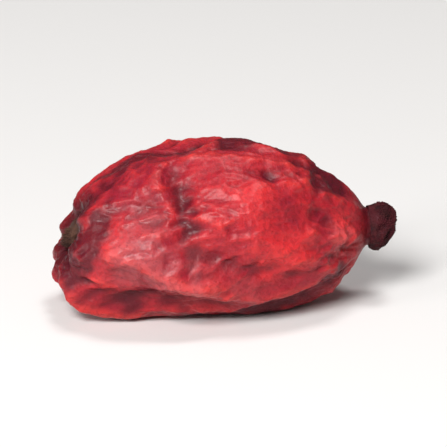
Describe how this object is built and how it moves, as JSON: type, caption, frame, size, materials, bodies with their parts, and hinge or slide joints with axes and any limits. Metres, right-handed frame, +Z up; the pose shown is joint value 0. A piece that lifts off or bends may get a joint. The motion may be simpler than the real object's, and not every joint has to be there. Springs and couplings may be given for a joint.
{
  "type": "dried barberry",
  "caption": "Dried barberry lying on its side: a wrinkled red teardrop with a sunken stalk pit, a stalk stub and a dark stigma on its beak.",
  "frame": {"origin": "middle of the outer box's bottom, on the surface that the berry lies on", "axes": "+X along the berry from the stalk end to the beak, +Z up; the picture's side faces -Y"},
  "size_m": [0.008, 0.0046, 0.004],
  "materials": {
    "dried_skin": "half-glossy wrinkled skin, crimson with darker folds",
    "dried_stigma": "matt, blackish brown and corky",
    "dried_stalk": "matt, brown and fibrous"
  },
  "bodies": {
    "root": {"berry": "dried_skin", "stigma": "dried_stigma", "stalk_stub": "dried_stalk"}
  },
  "joints": []
}
